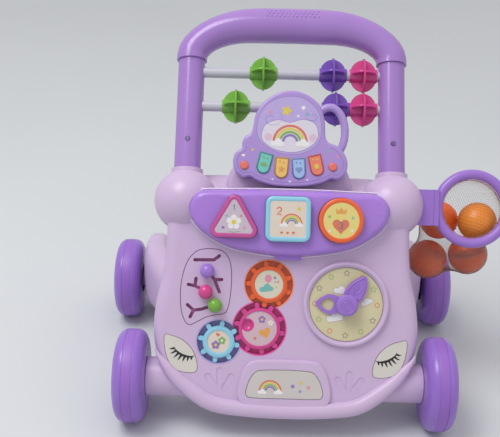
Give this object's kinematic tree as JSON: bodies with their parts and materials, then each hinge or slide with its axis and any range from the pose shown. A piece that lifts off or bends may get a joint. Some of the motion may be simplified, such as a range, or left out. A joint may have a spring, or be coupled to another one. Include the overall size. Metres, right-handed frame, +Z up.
{
  "type": "baby walker",
  "caption": "Push-along baby walker with wide rear legs, activity panel, bead handle, lift-off toy piano and ball hoop with net bag.",
  "frame": {"origin": "on the floor, midway between the axles and midway between the handle tubes", "axes": "+X to the child's right-hand side as seen from the front, -Y the way the panel faces, +Z up"},
  "size_m": [0.5245, 0.362, 0.4661],
  "materials": {
    "shell_lilac": "satin moulded shell",
    "trim_purple": "satin moulding",
    "grip_purple": "soft satin grip",
    "wheel_purple": "satin",
    "band_rubber": "matt grip band",
    "steel": "plain",
    "inlay_cream": "printed label",
    "dial_yellow": "printed dial",
    "well_red": "coloured well",
    "gear_orange": "gloss",
    "magenta": "gloss",
    "light_blue": "gloss",
    "button_orange": "gloss",
    "bead_green": "gloss",
    "bead_purple": "gloss",
    "rod_white": "gloss",
    "net_white": "fine knotless net",
    "ball_orange": "textured",
    "board_green": "circuit board",
    "cell_jacket": "printed jacket",
    "dark_plastic": "matt",
    "toy_lilac": "gloss",
    "key_teal": "gloss",
    "key_yellow": "gloss",
    "key_blue": "gloss",
    "key_orange": "gloss",
    "toy_red": "gloss"
  },
  "bodies": {
    "walker": {"front_shell": "shell_lilac", "back_shell": "shell_lilac", "rear_leg_left": "shell_lilac", "rear_leg_right": "shell_lilac", "console_panel": "trim_purple", "nameplate": "inlay_cream", "eye_inlays": "inlay_cream", "dial_face": "dial_yellow", "maze_plate": "shell_lilac", "gear_tray": "well_red", "handle_grip": "grip_purple", "handle_tube_left": "trim_purple", "handle_tube_right": "trim_purple", "abacus_rods": "rod_white", "axles": "steel", "hoop_bracket": "trim_purple", "battery_door": "shell_lilac", "battery_cells": "cell_jacket", "circuit_board": "board_green", "speaker": "dark_plastic", "screws": "steel", "piano_dock": "shell_lilac"},
    "front_left_wheel": {"front_wheel_left": "wheel_purple", "front_band_left": "band_rubber"},
    "front_right_wheel": {"front_wheel_right": "wheel_purple", "front_band_right": "band_rubber"},
    "rear_left_wheel": {"rear_wheel_left": "wheel_purple", "rear_band_left": "band_rubber"},
    "rear_right_wheel": {"rear_wheel_right": "wheel_purple", "rear_band_right": "band_rubber"},
    "gear_middle": {"gear_middle": "magenta"},
    "gear_top": {"gear_top": "gear_orange"},
    "gear_bottom": {"gear_bottom": "light_blue"},
    "hour_hand": {"hour_hand": "trim_purple"},
    "minute_hand": {"minute_hand": "trim_purple"},
    "triangle_button": {"triangle_button": "magenta"},
    "square_button": {"square_button": "light_blue"},
    "round_button": {"round_button": "button_orange"},
    "upper_green_bead": {"upper_bead_green": "bead_green"},
    "upper_pink_bead": {"upper_bead_pink": "magenta"},
    "upper_purple_bead": {"upper_bead_purple": "bead_purple"},
    "lower_green_bead": {"lower_bead_green": "bead_green"},
    "lower_pink_bead": {"lower_bead_pink": "magenta"},
    "lower_purple_bead": {"lower_bead_purple": "bead_purple"},
    "maze_purple": {"maze_ball_purple": "trim_purple"},
    "maze_pink": {"maze_ball_pink": "magenta"},
    "maze_green": {"maze_ball_green": "bead_green"},
    "toy_piano": {"piano_case": "toy_lilac", "piano_loop": "toy_lilac", "piano_back": "toy_lilac"},
    "key_1": {"piano_key_1": "key_teal"},
    "key_2": {"piano_key_2": "key_yellow"},
    "key_3": {"piano_key_3": "key_blue"},
    "key_4": {"piano_key_4": "key_orange"},
    "tune_left": {"piano_button_left": "toy_red"},
    "tune_right": {"piano_button_right": "toy_red"},
    "ball_hoop": {"hoop_ring": "trim_purple", "hoop_net": "net_white", "play_balls": "ball_orange"},
    "power_slider": {"power_switch": "dark_plastic"}
  },
  "joints": [
    {"name": "front_left_wheel_spin", "type": "hinge", "parent": "walker", "child": "front_left_wheel", "pos_m": [-0.188, -0.1235, 0.0575], "axis": [1, 0, 0], "continuous": true},
    {"name": "front_right_wheel_spin", "type": "hinge", "parent": "walker", "child": "front_right_wheel", "pos_m": [0.188, -0.1235, 0.0575], "axis": [1, 0, 0], "continuous": true},
    {"name": "rear_left_wheel_spin", "type": "hinge", "parent": "walker", "child": "rear_left_wheel", "pos_m": [-0.2255, 0.1235, 0.0575], "axis": [1, 0, 0], "continuous": true},
    {"name": "rear_right_wheel_spin", "type": "hinge", "parent": "walker", "child": "rear_right_wheel", "pos_m": [0.2255, 0.1235, 0.0575], "axis": [1, 0, 0], "continuous": true},
    {"name": "gear_middle_turn", "type": "hinge", "parent": "walker", "child": "gear_middle", "pos_m": [-0.032, -0.11385, 0.12548], "axis": [0, -0.9063, 0.4226], "continuous": true},
    {"name": "gear_top_turn", "type": "hinge", "parent": "walker", "child": "gear_top", "pos_m": [-0.02176, -0.09117, 0.17411], "axis": [0, -0.9063, 0.4226], "continuous": true},
    {"name": "gear_bottom_turn", "type": "hinge", "parent": "walker", "child": "gear_bottom", "pos_m": [-0.08075, -0.12119, 0.10975], "axis": [0, -0.9063, 0.4226], "continuous": true},
    {"name": "hour_hand_turn", "type": "hinge", "parent": "walker", "child": "hour_hand", "pos_m": [0.0715, -0.10922, 0.15907], "axis": [0, -0.9063, 0.4226], "continuous": true},
    {"name": "minute_hand_turn", "type": "hinge", "parent": "walker", "child": "minute_hand", "pos_m": [0.0715, -0.11285, 0.16076], "axis": [0, -0.9063, 0.4226], "continuous": true},
    {"name": "triangle_press", "type": "slide", "parent": "walker", "child": "triangle_button", "axis": [0, 0.9063, -0.4226], "range_m": [0, 0.0035], "stiffness_N_per_m": 300, "springref_m": -0.004},
    {"name": "square_press", "type": "slide", "parent": "walker", "child": "square_button", "axis": [0, 0.9063, -0.4226], "range_m": [0, 0.0035], "stiffness_N_per_m": 300, "springref_m": -0.004},
    {"name": "round_press", "type": "slide", "parent": "walker", "child": "round_button", "axis": [0, 0.9063, -0.4226], "range_m": [0, 0.0035], "stiffness_N_per_m": 300, "springref_m": -0.004},
    {"name": "upper_green_slide", "type": "slide", "parent": "walker", "child": "upper_green_bead", "axis": [1, 0, 0], "range_m": [-0.057, 0.052]},
    {"name": "upper_pink_slide", "type": "slide", "parent": "walker", "child": "upper_pink_bead", "axis": [1, 0, 0], "range_m": [-0.05, 0.0015]},
    {"name": "upper_purple_slide", "type": "slide", "parent": "upper_pink_bead", "child": "upper_purple_bead", "axis": [1, 0, 0], "range_m": [-0.052, 0.0035]},
    {"name": "lower_green_slide", "type": "slide", "parent": "walker", "child": "lower_green_bead", "axis": [1, 0, 0], "range_m": [-0.023, 0.09]},
    {"name": "lower_pink_slide", "type": "slide", "parent": "walker", "child": "lower_pink_bead", "axis": [1, 0, 0], "range_m": [-0.045, 0.0015]},
    {"name": "lower_purple_slide", "type": "slide", "parent": "lower_pink_bead", "child": "lower_purple_bead", "axis": [1, 0, 0], "range_m": [-0.045, 0]},
    {"name": "maze_purple_slide", "type": "slide", "parent": "walker", "child": "maze_purple", "axis": [0.6203, -0.3315, -0.7108], "range_m": [0, 0.014]},
    {"name": "maze_pink_slide", "type": "slide", "parent": "walker", "child": "maze_pink", "axis": [-0.9025, 0.182, 0.3904], "range_m": [0, 0.01461]},
    {"name": "maze_green_slide", "type": "slide", "parent": "walker", "child": "maze_green", "axis": [-0.9487, -0.1336, -0.2866], "range_m": [0, 0.018]},
    {"name": "piano_lift", "type": "slide", "parent": "walker", "child": "toy_piano", "axis": [0, 0.4226, 0.9063], "range_m": [0, 0.04]},
    {"name": "key_1_press", "type": "slide", "parent": "toy_piano", "child": "key_1", "axis": [0, 0.9063, -0.4226], "range_m": [0, 0.0016], "stiffness_N_per_m": 150, "springref_m": -0.002},
    {"name": "key_2_press", "type": "slide", "parent": "toy_piano", "child": "key_2", "axis": [0, 0.9063, -0.4226], "range_m": [0, 0.0016], "stiffness_N_per_m": 150, "springref_m": -0.002},
    {"name": "key_3_press", "type": "slide", "parent": "toy_piano", "child": "key_3", "axis": [0, 0.9063, -0.4226], "range_m": [0, 0.0016], "stiffness_N_per_m": 150, "springref_m": -0.002},
    {"name": "key_4_press", "type": "slide", "parent": "toy_piano", "child": "key_4", "axis": [0, 0.9063, -0.4226], "range_m": [0, 0.0016], "stiffness_N_per_m": 150, "springref_m": -0.002},
    {"name": "tune_left_press", "type": "slide", "parent": "toy_piano", "child": "tune_left", "axis": [0, 0.9063, -0.4226], "range_m": [0, 0.0016], "stiffness_N_per_m": 150, "springref_m": -0.002},
    {"name": "tune_right_press", "type": "slide", "parent": "toy_piano", "child": "tune_right", "axis": [0, 0.9063, -0.4226], "range_m": [0, 0.0016], "stiffness_N_per_m": 150, "springref_m": -0.002},
    {"name": "hoop_lift", "type": "slide", "parent": "walker", "child": "ball_hoop", "axis": [0, 0.4226, 0.9063], "range_m": [0, 0.045]},
    {"name": "power_slide", "type": "slide", "parent": "walker", "child": "power_slider", "axis": [1, 0, 0], "range_m": [0, 0.006]}
  ],
  "couplings": [
    {"joint": "gear_top_turn", "follows": "gear_middle_turn", "ratio": -1.1111},
    {"joint": "gear_bottom_turn", "follows": "gear_middle_turn", "ratio": -1.25}
  ]
}
